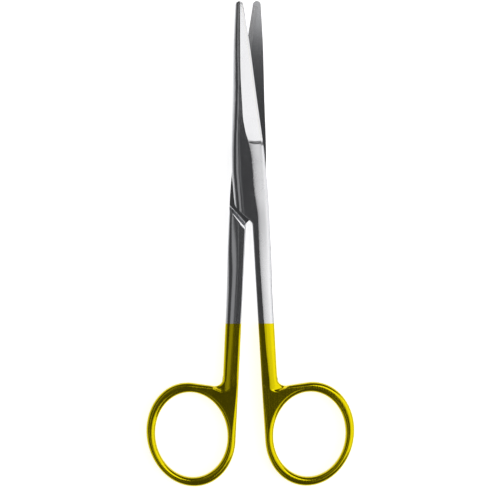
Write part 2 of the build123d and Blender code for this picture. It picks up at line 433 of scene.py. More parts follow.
    def lower(self, x: Array, y: Array) -> Array:
        """Inner surface: flat by the middle plane, then a hollow ramp down to the shank's own underside."""
        left_width, left_depth, right_width, right_depth = self.edge_radii(y)
        full = -(
            self.depth(y)
            - self.facets(x, y)
            - edge_fall(x - self.left(y), np.minimum(left_width, 0.5), np.minimum(left_depth, 0.45))
            - edge_fall(self.right(y) - x, right_width, right_depth)
        )
        s = np.clip((x - self.shoulder_line(y)) * 0.707 / self.ramp, 0, 1)
        share = 1 - np.sqrt(1 - s**2)
        past = (x - self.shoulder_line(y)) * 0.707 - self.ramp
        brow = 0.4 + 0.5 * smooth_step((-12.5 - y) / 2.5)
        shoulder = edge_fall(np.maximum(past, 0), brow, np.full_like(past, 0.35))
        return self.gap + (full + shoulder - self.gap) * share

    # -- loops

    def stations(self) -> Array:
        """Stations of the steel part from the tip back to the plating line, close where shape turns."""
        tip = self.reach - self.tip_radius * (1 - np.cos(np.linspace(0.05, math.pi / 2, 14)))
        return np.concatenate(
            [
                tip,
                np.linspace(tip[-1], 12.0, 70)[1:],
                np.linspace(12.0, 7.0, 84)[1:],
                np.linspace(7.0, -8.5, 34)[1:],
                np.linspace(-8.5, -18.0, 110)[1:],
                np.linspace(-18.0, -self.plating, 40)[1:],
            ]
        )

    def upper_columns(self, y: Array, right: Array) -> Array:
        """Places across the outer surface at each station, close by the edges and the crease."""
        left_width, _, right_width, _ = self.edge_radii(y)
        left, crest = self.left(y), self.crest(y)
        crease = np.minimum(0.05, 0.1 * (right - left))
        first = left[:, None] + left_width[:, None] * cosine_run(6)
        back = self.back_line(y)[:, None] + self.back_width(y)[:, None] * cosine_run(13)
        inner_start, inner_end = left + left_width, crest - crease
        inner = inner_start[:, None] + (inner_end - inner_start)[:, None] * np.linspace(0, 1, 7)[1:]
        inner = np.sort(np.hstack([inner, np.clip(back, inner_start[:, None], inner_end[:, None])]), axis=1)
        outer_start, outer_end = crest + crease, right - right_width
        outer = outer_start[:, None] + (outer_end - outer_start)[:, None] * np.linspace(0, 1, 20) ** 1.5
        last = right[:, None] - right_width[:, None] * cosine_run(7)[::-1][1:]
        columns = np.hstack([first, inner, crest[:, None], outer, last])
        return np.minimum(columns, right[:, None])

    def lower_columns(self, y: Array, right: Array) -> Array:
        """Places across the inner surface, from the right edge to the left one."""
        _, _, right_width, _ = self.edge_radii(y)
        left, crest = self.left(y), self.crest(y)
        edge = self.right(y)
        start = np.clip(self.shoulder_line(y), left, right)
        end = np.clip(self.shoulder_line(y) + self.ramp / 0.707, left, right)
        seat = np.clip(edge - self.insert_width, left, start - 2e-3)
        plate = left[:, None] + (seat - left)[:, None] * np.linspace(0, 1, 6)
        plate = np.hstack([plate, seat[:, None] + 1e-3, start[:, None]])
        ramp = start[:, None] + (end - start)[:, None] * np.sin(np.linspace(0, math.pi / 2, 14))[1:]
        first = left[:, None] + np.minimum(0.5, 0.8 * (crest - left))[:, None] * cosine_run(7)
        brow = end[:, None] + 1.2 * cosine_run(9)
        flat = np.hstack([first, brow, crest[:, None] - 0.05, crest[:, None], crest[:, None] + 0.05])
        rest_start, rest_end = crest + 0.05, right - right_width
        outer = rest_start[:, None] + (rest_end - rest_start)[:, None] * np.linspace(0, 1, 9)[1:]
        last = right[:, None] - right_width[:, None] * cosine_run(7)[::-1][1:]
        shank = np.sort(np.maximum(np.hstack([flat, outer, last]), end[:, None]), axis=1)
        columns = np.clip(np.hstack([plate, ramp, shank]), left[:, None], right[:, None])
        return columns[:, ::-1]

    def steel_right(self, y: Array) -> Array:
        """Right border of the steel: the cutting side, or the top of the braze where an insert lies."""
        slope = (self.crest_height(y) - self.edge_wall) / (self.right(y) - self.crest(y))
        back = self.right(y) - (self.braze_top - self.edge_wall) / slope
        inside = (y > self.insert_start) & (y < self.insert_end)
        return np.where(inside, back, self.right(y))


FORGING = Forging()


@dataclass
class Half:
    """One half of the scissors: steel blade and shank, insert, braze line and plated handle."""

    side: str
    seat: Seat
    shape: Forging = FORGING
    wall_rows: int = 4

    # sizes of the ring handle
    hole_half_width: float = 10.75
    hole_half_length: float = 12.7
    hole_tilt: float = math.radians(10)
    ring_half_width: float = 13.2
    ring_half_length: float = 15.6
    ring_tilt: float = math.radians(16)
    ring_centre: Tuple[float, float] = (13.6, -79.1)
    hole_centre: Tuple[float, float] = (13.5, -79.2)
    web_line: float = 64.6
    web_radius: float = 2.4

    def wall(self, x: Array, y: Array, top: Array, bottom: Array) -> Array:
        """Straight wall between two heights, as rows of points, both ends included."""
        t = np.linspace(0, 1, self.wall_rows + 1)
        z = top[:, None] + (bottom - top)[:, None] * t
        return np.stack([np.broadcast_to(x[:, None], z.shape), np.broadcast_to(y[:, None], z.shape), z], axis=-1)

    def slant(self, x: Array, y: Array) -> Array:
        """Turns stations near the plating line by the half's opening, so that the line is square to both."""
        weight = np.exp(-(((y + self.shape.plating) / 2.5) ** 2))
        return y - math.tan(self.seat.turn) * (x - 2.5) * weight

    def loop(self, y: Array, right: Array) -> Array:
        """Closed cross-sections, one for each station: upper surface, right wall, lower surface, left wall."""
        s = self.shape
        upper_x = s.upper_columns(y, right)
        upper_y = self.slant(upper_x, np.broadcast_to(y[:, None], upper_x.shape))
        upper = np.stack([upper_x, upper_y, s.upper(upper_x, upper_y)], axis=-1)
        lower_x = s.lower_columns(y, right)
        lower_y = self.slant(lower_x, np.broadcast_to(y[:, None], lower_x.shape))
        lower = np.stack([lower_x, lower_y, s.lower(lower_x, lower_y)], axis=-1)
        right_wall = self.wall(right, upper_y[:, -1], upper[:, -1, 2], lower[:, 0, 2])
        left_wall = self.wall(upper_x[:, 0], upper_y[:, 0], lower[:, -1, 2], upper[:, 0, 2])
        return np.concatenate([upper, right_wall[:, 1:-1], lower, left_wall[:, 1:-1]], axis=1)

    def steel(self) -> bpy.types.Object:
        """Blade, joint and steel shank as loops swept from the tip to the plating line."""
        s = self.shape
        y = s.stations()
        cuts = np.array([s.insert_end + 1e-4, s.insert_end - 1e-4, s.insert_start + 1e-4, s.insert_start - 1e-4])
        y = np.sort(np.concatenate([y[(y < s.insert_start) | (y > s.insert_start)], cuts]))[::-1]
        right = s.steel_right(y)
        loops = self.loop(y, right)
        inside = (y > s.insert_start) & (y < s.insert_end)
        seat_x = (s.right(y) - s.insert_width + 5e-4)[:, None]
        top_count = s.upper_columns(y, right).shape[1]
        upper_count = top_count + self.wall_rows - 1
        lower = loops[:, top_count:, :]
        over_insert = inside[:, None] & (lower[..., 0] > seat_x) & (lower[..., 2] < s.braze_top)
        lower[..., 2] = np.where(over_insert, s.braze_top, lower[..., 2])
        shell = Shell(f"{self.side}_blade_steel")
        middle = 0.5 * (loops[:-1] + loops[1:])
        nxt = np.roll(middle, -1, axis=1)
        centre = 0.5 * (middle + nxt)
        columns = np.arange(loops.shape[1])[None, :]
        on_top = columns < top_count - 1
        on_bottom = (columns >= upper_count) & (columns < loops.shape[1] - self.wall_rows)
        right_of_crest = centre[..., 0] > s.crest(centre[..., 1])
        ahead = s.bevel_share(centre[..., 0], centre[..., 1]) > 0.75
        _, _, rim, _ = s.edge_radii(centre[..., 1])
        inside_rim = centre[..., 0] < s.right(centre[..., 1]) - 0.6 * rim
        facet = on_top & right_of_crest & (centre[..., 1] < 10) & inside_rim
        finish = np.zeros(centre.shape[:2], int)
        finish[facet] = 1
        finish[on_top & right_of_crest & ahead] = 1
        # the hollow run-out takes the run-out material: its colour is painted shade, darkest at the wall
        hollow = s.bevel_share(centre[..., 0], centre[..., 1])
        finish[on_top & right_of_crest & (hollow > 0.02) & (hollow < 0.998)] = 3
        finish[on_bottom & (centre[..., 2] > 0)] = 2
        shell.add_grid(loops, finish, wrap_columns=True)
        self.close_end(shell, loops[0])
        self.close_end(shell, loops[-1])
        tool = None if self.seat.faces_up else Bore().tool(self.seat)
        return shell.build(self.seat, [Finish.POLISHED, Finish.GROUND, Finish.SATIN, Finish.RUNOUT_SHADE], tool)

    def close_end(self, shell: Shell, loop: Array) -> None:
        """Closes an open end with quads from its upper border to its lower one, through its middle."""
        centre = loop.mean(axis=0)
        inner = centre + (loop - centre) * 0.5
        hub = np.broadcast_to(centre, loop.shape)
        shell.add_grid(np.stack([loop, inner, hub]), 0, wrap_columns=True)

    # -- insert and braze

    def strip(self, name: str, low: float, high: float, finish: Finish) -> bpy.types.Object:
        """Bar along the cutting edge between two heights: flat inside, its outside on the bevel's own flat."""
        s = self.shape
        y = np.linspace(s.insert_end - 2e-3, s.insert_start + 2e-3, 90)
        right = s.right(y)
        slope = (s.crest_height(y) - s.edge_wall) / (right - s.crest(y))
        inner = right - s.insert_width
        low_x = right - np.maximum(low - s.edge_wall, 0) / slope
        high_x = np.maximum(right - (high - s.edge_wall) / slope, inner + 1e-3)
        wall_z = np.maximum(low, s.edge_wall)
        corners = [(inner, low), (low_x, low), (low_x, wall_z), (high_x, high), (inner, high)]
        ring = np.stack(
            [np.stack([x, y, np.full_like(y, z)], axis=-1) for x, z in corners], axis=1
        )
        loops = bevelled_polygon(ring, 0.02)
        shell = Shell(name)
        outer_face = np.zeros((len(y) - 1, loops.shape[1]), int)
        # the insert's outside in the run-out takes the run-out material, with its painted shade
        outer_face[:, 4:7] = (s.bevel_share(low_x[1:], y[1:]) < 1)[:, None]
        shell.add_grid(loops, outer_face, wrap_columns=True)
        self.close_end(shell, loops[0])
        self.close_end(shell, loops[-1])
        return shell.build(self.seat, [finish, Finish.RUNOUT_SHADE])

    # -- handle

    def strip_grid(self, y: Array) -> Tuple[Array, Array, Array]:
        """Upper columns, upper and lower points of the plated shank at some stations."""
        s = self.shape
        x = s.upper_columns(y, s.right(y))
        yy = self.slant(x, np.broadcast_to(y[:, None], x.shape))
        upper = np.stack([x, yy, s.upper(x, yy)], axis=-1)
        lower = upper * np.array([1, 1, -1])
        return x, upper, lower

    def tangent(self, point: Tuple[float, float], turn: int) -> float:
        """Parameter of the ring's outer oval where a line from a point touches it."""
        c, s = math.cos(self.ring_tilt), math.sin(self.ring_tilt)
        dx, dy = point[0] - self.ring_centre[0], point[1] - self.ring_centre[1]
        across, along = (dx * c - dy * s) / self.ring_half_width, (dx * s + dy * c) / self.ring_half_length
        return math.atan2(along, across) + turn * math.acos(1 / math.hypot(across, along))

    def oval(self, t: Array, outer: bool) -> Array:
        """Points of the ring's outer oval or of its finger hole: an ellipse leaning outwards."""
        centre = self.ring_centre if outer else self.hole_centre
        tilt = self.ring_tilt if outer else self.hole_tilt
        a = self.ring_half_width if outer else self.hole_half_width
        b = self.ring_half_length if outer else self.hole_half_length
        x, y = a * np.cos(t), b * np.sin(t)
        c, s = math.cos(tilt), math.sin(tilt)
        return np.stack([centre[0] + x * c + y * s, centre[1] - x * s + y * c], axis=-1)

    def handle(self) -> bpy.types.Object:
        """Plated shank, web and ring.

        The shank is a grid of stations. Web and ring are one band of lines, each from a point
        of the hole's edge to a point of the outline: round the oval, up the medial edge,
        across the seam with the shank, down the lateral edge, round the hollow corner and
        along the web. Heights are a function of the distances to the outline and to the hole.
        """
        s = self.shape
        stations = np.linspace(-s.plating, -s.seam, 30)
        columns, upper, lower = self.strip_grid(stations)
        seam_x = columns[-1]
        corner = (float(s.right(np.array([-s.seam]))[0]), -self.web_line)
        medial_x = float(seam_x[0])
        t_web = self.tangent(corner, -1)
        t_medial = self.tangent((medial_x, -s.seam), 1)
        t_medial = t_medial - 2 * math.pi if t_medial > t_web else t_medial
        touch = self.oval(np.array([t_web]), True)[0]
        arm = np.array(touch) - np.array(corner)
        arm = arm / np.linalg.norm(arm)
        angle = math.acos(arm[1])
        reach = self.web_radius / math.tan(angle / 2)
        start, stop = np.array(corner) + np.array([0, reach]), np.array(corner) + arm * reach
        middle = start + np.array([self.web_radius, 0])
        phi0 = math.pi
        phi1 = math.atan2(*(stop - middle)[::-1])
        phi1 = phi1 + 2 * math.pi if phi1 < phi0 - math.pi else phi1
        phi1 = phi1 + 2 * math.pi if phi1 < 0 else phi1
        bend = np.linspace(phi0, phi1, 41)
        fillet = middle + self.web_radius * np.stack([np.cos(bend), np.sin(bend)], axis=-1)
        t_oval = np.linspace(t_web, t_medial, 220)
        oval = self.oval(t_oval, True)
        foot = oval[-1]
        lerp = np.linspace(0, 1, 40)[:, None]
        medial = foot + (np.array([medial_x, -s.seam]) - foot) * lerp
        seam = np.stack([seam_x, np.full_like(seam_x, -s.seam)], axis=-1)
        lateral = seam[-1] + (fillet[0] - seam[-1]) * np.linspace(0, 1, 12)[:, None]
        web = fillet[-1] + (touch - fillet[-1]) * np.linspace(0, 1, 24)[:, None]
        outline = np.vstack([oval, medial[1:], seam[1:], lateral[1:], fillet[1:], web[1:-1]])
        legs = [len(oval), len(medial) - 1, len(seam) - 1, len(lateral) + len(fillet) - 2, len(web) - 2]
        turn = math.tau
        marks = [t_web, t_medial, t_medial - math.radians(34), t_medial - math.radians(51),
                 t_medial - math.radians(69), t_web - turn]
        pieces = [t_oval]
        for leg, count in enumerate(legs[1:], start=1):
            extra = 1 if leg < 4 else 2
            run = np.linspace(marks[leg], marks[leg + 1], count + extra)
            pieces.append(run[1 : count + 1])
        hole = self.oval(np.concatenate(pieces), False)
        length = np.linalg.norm(outline - hole, axis=1)
        rim = 1.35 * cosine_run(9) / cosine_run(9)[-1]
        inner = np.minimum(rim, 0.485 * length[:, None])
        outer = length[:, None] - np.minimum(rim, 0.485 * length[:, None])[:, ::-1]
        between = inner[:, -1:] + (outer[:, :1] - inner[:, -1:]) * np.linspace(0, 1, 41)[1:-1]
        run = np.hstack([inner, between, outer]) / length[:, None]
        plan = hole[:, None, :] + (outline - hole)[:, None, :] * run[..., None]
        x, y = plan[..., 0], plan[..., 1]
        medial_path = np.vstack([medial, [[medial_x, 12 - s.seam]]])
        lateral_path = np.vstack([[[corner[0], 12 - s.seam]], lateral, fillet[1:], web[1:]])
        along_medial = smooth_step((-s.seam - 2 - y) / (-s.seam - 2 - foot[1]))
        along_web = smooth_step((x - corner[0] - 1) / (touch[0] - corner[0] - 1))
        ring_round = np.array([1.3, 1.1])
        falls = [
            edge_fall(self.path_distance(plan, path, rows, len(outline)), *(start + (ring_round[:, None, None] - start) * share))
            for path, rows, start, share in (
                (oval, (0, legs[0] - 1), ring_round[:, None, None], np.zeros_like(x)),
                (medial_path, (legs[0] - 1, legs[0] + legs[1] - 1), np.array([0.5, 0.4])[:, None, None], along_medial),
                (lateral_path, (sum(legs[:3]) - 1, len(outline)), np.array([1.0, 0.7])[:, None, None], along_web),
            )
        ]
        inward = distance_to_path(plan, np.vstack([hole, hole[:1]]))
        inward[:, 0] = 0
        z = s.handle_half - s.facets(x, y) - np.maximum.reduce(falls) - edge_fall(inward, 1.3, 1.1)
        sheet = np.stack([x, y, z], axis=-1)
        seam_rows = self.seam_rows(legs)
        sheet[seam_rows, -1] = upper[-1][: len(seam_rows)]
        under = sheet * np.array([1, 1, -1])
        shell = Shell(f"{self.side}_ring_handle_plated")
        shell.add_grid(upper, 0)
        shell.add_grid(lower, 0)
        for column in (0, -1):
            shell.add_grid(self.wall(upper[:, column, 0], upper[:, column, 1], upper[:, column, 2], lower[:, column, 2]), 0)
        shell.add_grid(sheet, 0, wrap_rows=True)
        shell.add_grid(under, 0, wrap_rows=True)
        shell.add_grid(self.wall(sheet[:, 0, 0], sheet[:, 0, 1], sheet[:, 0, 2], under[:, 0, 2]), 0, wrap_rows=True)
        rim_rows = np.concatenate([np.arange(seam_rows[-1], len(outline)), np.arange(0, seam_rows[0] + 1)])
        border = sheet[rim_rows, -1]
        shell.add_grid(self.wall(border[:, 0], border[:, 1], border[:, 2], -border[:, 2]), 0)
        end_wall = self.wall(upper[0, -1:, 0], upper[0, -1:, 1], upper[0, -1:, 2], lower[0, -1:, 2])[0]
        start_wall = self.wall(upper[0, :1, 0], upper[0, :1, 1], lower[0, :1, 2], upper[0, :1, 2])[0]
        self.close_end(shell, np.vstack([upper[0], end_wall[1:-1], lower[0][::-1], start_wall[1:-1]]))
        return shell.build(self.seat, [Finish.PLATED])

    @staticmethod
    def path_distance(plan: Array, path: Array, rows: Tuple[int, int], total: int) -> Array:
        """Distance of the band's points to one stretch of the outline, exactly nothing on its own rows."""
        away = distance_to_path(plan, path)
        own = (np.arange(total) >= rows[0]) & (np.arange(total) <= rows[1])
        away[own, -1] = 0
        return away

    @staticmethod
    def seam_rows(legs: Sequence[int]) -> Array:
        """Rows of the band that end on the seam with the shank."""
        first = legs[0] + legs[1] - 1
        return np.arange(first, first + legs[2] + 1)

    def make(self) -> None:
        """Builds the half's pieces, mounts them on its body and hides the CAD nodes they stand for."""
        body = f"{self.side}_half"
        s = self.shape
        jobs = (
            (self.steel(), f"{self.side}_blade", "polished_steel"),
            (self.handle(), f"{self.side}_ring_handle", "gold_plating"),
            (
                self.strip(f"{self.side}_carbide_edge", s.gap, s.insert_top - 5e-3, Finish.CARBIDE),
                f"{self.side}_carbide_insert",
                "carbide",
            ),
            (
                self.strip(f"{self.side}_braze_seam", s.insert_top, s.braze_top - 5e-3, Finish.BRAZE),
                f"{self.side}_braze_layer",
                "braze",
            ),
        )
        for piece, node, slot in jobs:
            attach(piece, body)
            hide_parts(node)


def bevelled_polygon(ring: Array, size: float) -> Array:
    """Cross-sections with each corner cut by a small chamfer, so that edges catch light.

    Args:
        ring: stations by corners by 3.
        size: how far each corner is cut back along its two sides, in mm.

    Returns:
        Stations by twice the corners by 3.
    """
    before, after = np.roll(ring, 1, axis=1), np.roll(ring, -1, axis=1)
    to_before, to_after = before - ring, after - ring
    near = np.linalg.norm(to_before, axis=-1, keepdims=True)
    far = np.linalg.norm(to_after, axis=-1, keepdims=True)
    first = ring + to_before / np.maximum(near, 1e-9) * np.minimum(size, near / 3)
    second = ring + to_after / np.maximum(far, 1e-9) * np.minimum(size, far / 3)
    return np.stack([first, second], axis=2).reshape(ring.shape[0], -1, 3)


def distance_to_path(points: Array, path: Array) -> Array:
    """Distance of every point to a line of short straight runs, seen from above."""
    flat = points.reshape(-1, 1, 2)
    start, stop = path[:-1][None], path[1:][None]
    run = stop - start
    t = ((flat - start) * run).sum(-1) / np.maximum((run * run).sum(-1), 1e-12)
    nearest = start + run * np.clip(t, 0, 1)[..., None]
    return np.sqrt(((flat - nearest) ** 2).sum(-1).min(axis=1)).reshape(points.shape[:-1])


# ---------------------------------------------------------------------------- pivot screw

@dataclass
class PivotScrew:
    """Screw turned from one bar: slotted head below, smooth shoulder, end ground flush on top."""

    seat: Seat
    thread_radius: float = 1.8
    shoulder_radius: float = 2.2
    head_radius: float = 3.2
    head_thickness: float = 1.2
    head_recess: float = 0.1
    half_thickness: float = 3.0
    slot_width: float = 1.0
    slot_depth: float = 0.6
    rim_round: float = 0.12
    shoulder_end: float = 0.03

    def slot_tool(self, head_low: float) -> bpy.types.Object:
        """Bar as wide as the slot, right across the head and as deep as the slot's floor."""
        across, half = 2 * self.head_radius, self.slot_width / 2
        low, high = head_low - 1, head_low + self.slot_depth
        corners = np.array([(-half, low), (half, low), (half, high), (-half, high)])
        ends = [np.column_stack([np.full(4, x), corners]) for x in (-across, across)]
        shell = Shell("slot_tool")
        shell.add_grid(np.stack(ends), 0, wrap_columns=True)
        for end in ends:
            shell.add_grid(np.stack([end, np.broadcast_to(end.mean(axis=0), end.shape)]), 0, wrap_columns=True)
        return shell.build(self.seat, [Finish.SCREW])

    def make(self) -> None:
        """Turns a profile about the pivot axis, ends it on the front half's surface and cuts the slot.

        The end follows the height of the front half's outer face, a touch lower at its rim,
        so that the screw's end reads as a hairline ring.
        """
        head_low = -self.half_thickness + self.head_recess
        head_top = head_low + self.head_thickness
        curve = np.linspace(0, math.pi / 2, 5)
        rim = np.stack([self.head_radius - self.rim_round * (1 - np.sin(curve)),
                        head_low + self.rim_round * (1 - np.cos(curve))], axis=1)
        face = np.stack([np.linspace(0, rim[0, 0], 7)[:-1], np.full(6, head_low)], axis=1)
        stem = np.array([(self.head_radius, head_top), (self.shoulder_radius, head_top),
                         (self.shoulder_radius, self.shoulder_end), (self.thread_radius, self.shoulder_end)])
        body = turned(np.vstack([face, rim, stem]), TURN)
        radii = self.thread_radius * np.linspace(1, 0, 25)
        x, y = np.outer(np.cos(TURN), radii), np.outer(np.sin(TURN), radii)
        z = FORGING.upper(x, y) + np.where(radii > self.thread_radius - 1e-6, -0.004, 0.002)
        z[:, -1] = z[:, -1].mean()
        end = np.stack([x, y, z], axis=-1)
        shell = Shell("pivot_screw_turned")
        shell.add_grid(np.concatenate([body, end[:, :1]], axis=1), 2, wrap_rows=True)
        shell.add_grid(end, np.where(x[:, 1:] > FORGING.crest(y[:, 1:]), 1, 0), wrap_rows=True)
        piece = shell.build(self.seat, [Finish.POLISHED, Finish.GROUND, Finish.SCREW], self.slot_tool(head_low))
        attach(piece, "front_half")
        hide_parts("pivot_screw")


# ---------------------------------------------------------------------------- finishes

_MATERIALS: Dict[Finish, bpy.types.Material] = {}
_GROUPS: Dict[str, bpy.types.NodeTree] = {}


def node_group(name: str, inputs: Dict[str, float], outputs: Sequence[str]) -> Tuple[bpy.types.NodeTree, bpy.types.Node, bpy.types.Node]:
    """Empty shader group with a Vector input, number inputs with their usual values, and number outputs."""
    group = bpy.data.node_groups.new(name, "ShaderNodeTree")
    group.interface.new_socket("Vector", in_out="INPUT", socket_type="NodeSocketVector")
    for key, value in inputs.items():
        socket = group.interface.new_socket(key, in_out="INPUT", socket_type="NodeSocketFloat")
        socket.default_value = value
    for key in outputs:
        group.interface.new_socket(key, in_out="OUTPUT", socket_type="NodeSocketFloat")
    return group, group.nodes.new("NodeGroupInput"), group.nodes.new("NodeGroupOutput")


def math_node(tree: bpy.types.NodeTree, operation: str, first, second=None) -> bpy.types.NodeSocket:
    """One Math node on sockets or numbers; returns its output."""
    node = tree.nodes.new("ShaderNodeMath")
    node.operation = operation
    for slot, value in enumerate((first, second)):
        if value is None:
            continue
        if isinstance(value, (int, float)):
            node.inputs[slot].default_value = value
        else:
            tree.links.new(value, node.inputs[slot])
    return node.outputs[0]


def stretched_noise(tree: bpy.types.NodeTree, vector, scale: Tuple[float, float, float], turn: float, detail: float) -> bpy.types.NodeSocket:
    """Noise on turned and stretched coordinates, for lines that run one way."""
    mapping = tree.nodes.new("ShaderNodeMapping")
    mapping.inputs["Rotation"].default_value = (0, 0, turn)
    mapping.inputs["Scale"].default_value = scale
    noise = tree.nodes.new("ShaderNodeTexNoise")
    noise.inputs["Scale"].default_value = 1.0
    noise.inputs["Detail"].default_value = detail
    tree.links.new(vector, mapping.inputs["Vector"])
    tree.links.new(mapping.outputs[0], noise.inputs["Vector"])
    return noise.outputs["Fac"]


def grind_group() -> bpy.types.NodeTree:
    """Grinding marks across the blade: fine lines and a few broader ones. Puts out Height and Streak."""
    if "grind_marks" not in _GROUPS:
        group, source, sink = node_group("grind_marks", {"Strength": 1.0}, ("Height", "Streak"))
        vector = source.outputs["Vector"]
        fine = stretched_noise(group, vector, (0.9, 26.0, 3.0), math.radians(8), 4.0)
        broad = stretched_noise(group, vector, (0.25, 5.0, 1.0), math.radians(5), 2.0)
        both = math_node(group, "ADD", math_node(group, "MULTIPLY", fine, 0.7), math_node(group, "MULTIPLY", broad, 0.3))
        height = math_node(group, "MULTIPLY", both, source.outputs["Strength"])
        group.links.new(height, sink.inputs["Height"])
        group.links.new(both, sink.inputs["Streak"])
        _GROUPS["grind_marks"] = group
    return _GROUPS["grind_marks"]


def hairline_group() -> bpy.types.NodeTree:
    """Hairline scratches of handling in two directions, and soft smudges. Puts out Scratch and Smudge."""
    if "handling_marks" not in _GROUPS:
        group, source, sink = node_group("handling_marks", {"Amount": 1.0}, ("Scratch", "Smudge"))
        vector = source.outputs["Vector"]
        lines = []
        for turn, scale in ((0.35, (7.0, 0.22, 2.0)), (-0.5, (8.5, 0.3, 2.0)), (1.3, (6.0, 0.35, 2.0))):
            noise = stretched_noise(group, vector, scale, turn, 1.0)
            away = math_node(group, "ABSOLUTE", math_node(group, "SUBTRACT", noise, 0.5))
            thin = math_node(group, "SUBTRACT", 1.0, math_node(group, "MULTIPLY", away, 60.0))
            lines.append(math_node(group, "MAXIMUM", thin, 0.0))
        total = math_node(group, "MAXIMUM", math_node(group, "MAXIMUM", lines[0], lines[1]), lines[2])
        patchy = stretched_noise(group, vector, (0.35, 0.35, 0.35), 0.0, 2.0)
        gate = math_node(group, "MAXIMUM", math_node(group, "MULTIPLY", math_node(group, "SUBTRACT", patchy, 0.5), 5.0), 0.0)
        scratch = math_node(group, "MULTIPLY", math_node(group, "MULTIPLY", total, gate), source.outputs["Amount"])
        smudge = stretched_noise(group, vector, (0.16, 0.1, 0.2), 0.4, 3.0)
        group.links.new(scratch, sink.inputs["Scratch"])
        group.links.new(smudge, sink.inputs["Smudge"])
        _GROUPS["handling_marks"] = group
    return _GROUPS["handling_marks"]


@dataclass(frozen=True)
class Metal:
    """A metal finish: its colour, gloss, and how strongly its grain and handling marks show."""

    colour: Colour
    dark: Colour
    roughness: float
    smudge_roughness: float
    grain_depth: float
    grain_tone: float
    scratch_roughness: float
    wave_depth: float = 0.0
    draw_depth: float = 0.0

    def make(self, finish: Finish) -> bpy.types.Material:
        """Builds the material: grain drives bump and tone, smudges and scratches drive roughness; on the run-out,
        painted shade darkens the colour.
        """
        made = bpy.data.materials.new(finish.value)
        made.use_nodes = True
        tree = made.node_tree
        tree.nodes.clear()
        out = tree.nodes.new("ShaderNodeOutputMaterial")
        shader = tree.nodes.new("ShaderNodeBsdfPrincipled")
        shader.inputs["Metallic"].default_value = 1.0
        place = tree.nodes.new("ShaderNodeAttribute")
        place.attribute_name = LOCAL
        grind = tree.nodes.new("ShaderNodeGroup")
        grind.node_tree = grind_group()
        grind.inputs["Strength"].default_value = 1.0
        marks = tree.nodes.new("ShaderNodeGroup")
        marks.node_tree = hairline_group()
        marks.inputs["Amount"].default_value = 1.0
        for node in (grind, marks):
            tree.links.new(place.outputs["Vector"], node.inputs["Vector"])
        ramp = tree.nodes.new("ShaderNodeMix")
        ramp.data_type = "RGBA"
        ramp.inputs["A"].default_value = (*self.colour, 1)
        ramp.inputs["B"].default_value = (*self.dark, 1)
        tone = math_node(tree, "MULTIPLY", grind.outputs["Streak"], self.grain_tone)
        tree.links.new(tone, ramp.inputs["Factor"])
        colour = ramp.outputs["Result"]
        # painted shade on the run-out: the colour darkens towards its wall
        if finish is Finish.RUNOUT_SHADE:
            colour = self.paint_runout_shade(tree, place.outputs["Vector"], colour)
        tree.links.new(colour, shader.inputs["Base Color"])
        rough = math_node(tree, "MULTIPLY", marks.outputs["Smudge"], self.smudge_roughness)
        rough = math_node(tree, "ADD", rough, math_node(tree, "MULTIPLY", marks.outputs["Scratch"], self.scratch_roughness))
        rough = math_node(tree, "ADD", rough, self.roughness)
        tree.links.new(rough, shader.inputs["Roughness"])
        height = math_node(tree, "MULTIPLY", grind.outputs["Height"], self.grain_depth)
        wave = stretched_noise(tree, place.outputs["Vector"], (0.3, 0.12, 0.3), 0.2, 1.0)
        height = math_node(tree, "ADD", height, math_node(tree, "MULTIPLY", wave, self.wave_depth))
        drawn = stretched_noise(tree, place.outputs["Vector"], (1.9, 0.03, 1.9), 0.03, 2.0)
        height = math_node(tree, "ADD", height, math_node(tree, "MULTIPLY", drawn, self.draw_depth))
        bump = tree.nodes.new("ShaderNodeBump")
        bump.inputs["Strength"].default_value = 1.0
        bump.inputs["Distance"].default_value = MM
        tree.links.new(height, bump.inputs["Height"])
        tree.links.new(bump.outputs["Normal"], shader.inputs["Normal"])
        tree.links.new(shader.outputs["BSDF"], out.inputs["Surface"])
        return made


    @staticmethod
    def paint_runout_shade(tree: bpy.types.NodeTree, place: bpy.types.NodeSocket, colour: bpy.types.NodeSocket) -> bpy.types.NodeSocket:
        """Paints shade into the bevel's hollow run-out, darkest at its steep end.

        The share along the hollow is (y - end) / length, with the end's curve that of the
        forging; the painted shade goes from nearly black at the end to the ground steel's own colour.

        Args:
            tree: the material's nodes.
            place: the point in the half's own frame, in mm.
            colour: the ground steel's colour.

        Returns:
            The colour with its painted shade.
        """
        parts = tree.nodes.new("ShaderNodeSeparateXYZ")
        tree.links.new(place, parts.inputs[0])
        off = math_node(tree, "SUBTRACT", parts.outputs["X"], FORGING.bevel_low_x)
        curve = math_node(tree, "MULTIPLY", math_node(tree, "MULTIPLY", off, off), FORGING.bevel_curl)
        along = math_node(tree, "SUBTRACT", math_node(tree, "SUBTRACT", parts.outputs["Y"], curve), FORGING.bevel_low)
        blend = tree.nodes.new("ShaderNodeMapRange")
        blend.interpolation_type = "SMOOTHSTEP"
        blend.inputs["From Min"].default_value = 0.1
        blend.inputs["From Max"].default_value = 1.0 * FORGING.bevel_cove
        tree.links.new(math_node(tree, "ABSOLUTE", along), blend.inputs["Value"])
        mix = tree.nodes.new("ShaderNodeMix")
        mix.data_type = "RGBA"
        # nearly black: painted shade at the run-out's steep end
        mix.inputs["A"].default_value = (0.15, 0.15, 0.153, 1)
        tree.links.new(blend.outputs["Result"], mix.inputs["Factor"])
        tree.links.new(colour, mix.inputs["B"])
        return mix.outputs["Result"]


